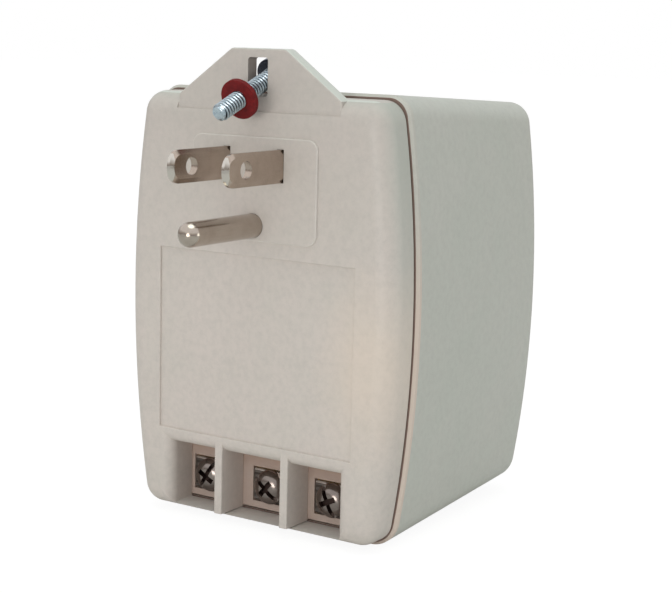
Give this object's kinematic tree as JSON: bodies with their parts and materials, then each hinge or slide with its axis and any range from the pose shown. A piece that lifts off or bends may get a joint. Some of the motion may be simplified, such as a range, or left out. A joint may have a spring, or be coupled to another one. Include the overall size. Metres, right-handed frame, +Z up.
{
  "type": "plug-in ac transformer",
  "caption": "Plug-in AC transformer in a barrel-shaped moulded housing, with a grounded blade plug, a screw tab and recessed clamp terminals.",
  "frame": {"origin": "midway between the two flat blades, on the raised plug panel that meets the outlet", "axes": "+X to the right when facing the plug, +Y from the outlet towards the rear of the case, +Z up towards the mounting tab"},
  "size_m": [0.0656, 0.084, 0.0958],
  "materials": {
    "cover_plastic": "fine moulded texture, satin",
    "case_plastic": "fine moulded texture, satin",
    "blade_nickel": "nickel-plated, bright",
    "pin_nickel": "nickel-plated, bright",
    "screw_zinc": "zinc-plated",
    "washer_fibre": "vulcanised fibre, dull",
    "terminal_screw_steel": "nickel-plated",
    "clamp_plate_steel": "nickel-plated",
    "terminal_brass": "plain",
    "lamination_steel": "varnished laminations",
    "bobbin_nylon": "natural nylon",
    "magnet_wire": "enamelled copper",
    "winding_tape": "polyester tape",
    "cutoff_can": "lacquered",
    "lead_black": "insulated wire",
    "lead_white": "insulated wire",
    "lead_green": "insulated wire",
    "lead_yellow": "insulated wire"
  },
  "bodies": {
    "root": {"front_cover": "cover_plastic", "rear_case": "case_plastic", "line_blade": "blade_nickel", "neutral_blade": "blade_nickel", "ground_pin": "pin_nickel", "core_e_stack": "lamination_steel", "core_i_stack": "lamination_steel", "bobbin": "bobbin_nylon", "primary_winding": "magnet_wire", "secondary_winding": "magnet_wire", "primary_tape": "winding_tape", "secondary_tape": "winding_tape", "thermal_cutoff": "cutoff_can", "terminal_tab_left": "terminal_brass", "terminal_plate_left": "clamp_plate_steel", "terminal_screw_left": "terminal_screw_steel", "terminal_tab_middle": "terminal_brass", "terminal_plate_middle": "clamp_plate_steel", "terminal_screw_middle": "terminal_screw_steel", "terminal_tab_right": "terminal_brass", "terminal_plate_right": "clamp_plate_steel", "terminal_screw_right": "terminal_screw_steel", "mounting_screw": "screw_zinc", "fiber_washer": "washer_fibre", "line_lead": "lead_black", "neutral_lead": "lead_white", "ground_lead": "lead_green", "secondary_lead_left": "lead_yellow", "secondary_lead_right": "lead_yellow"}
  },
  "joints": []
}
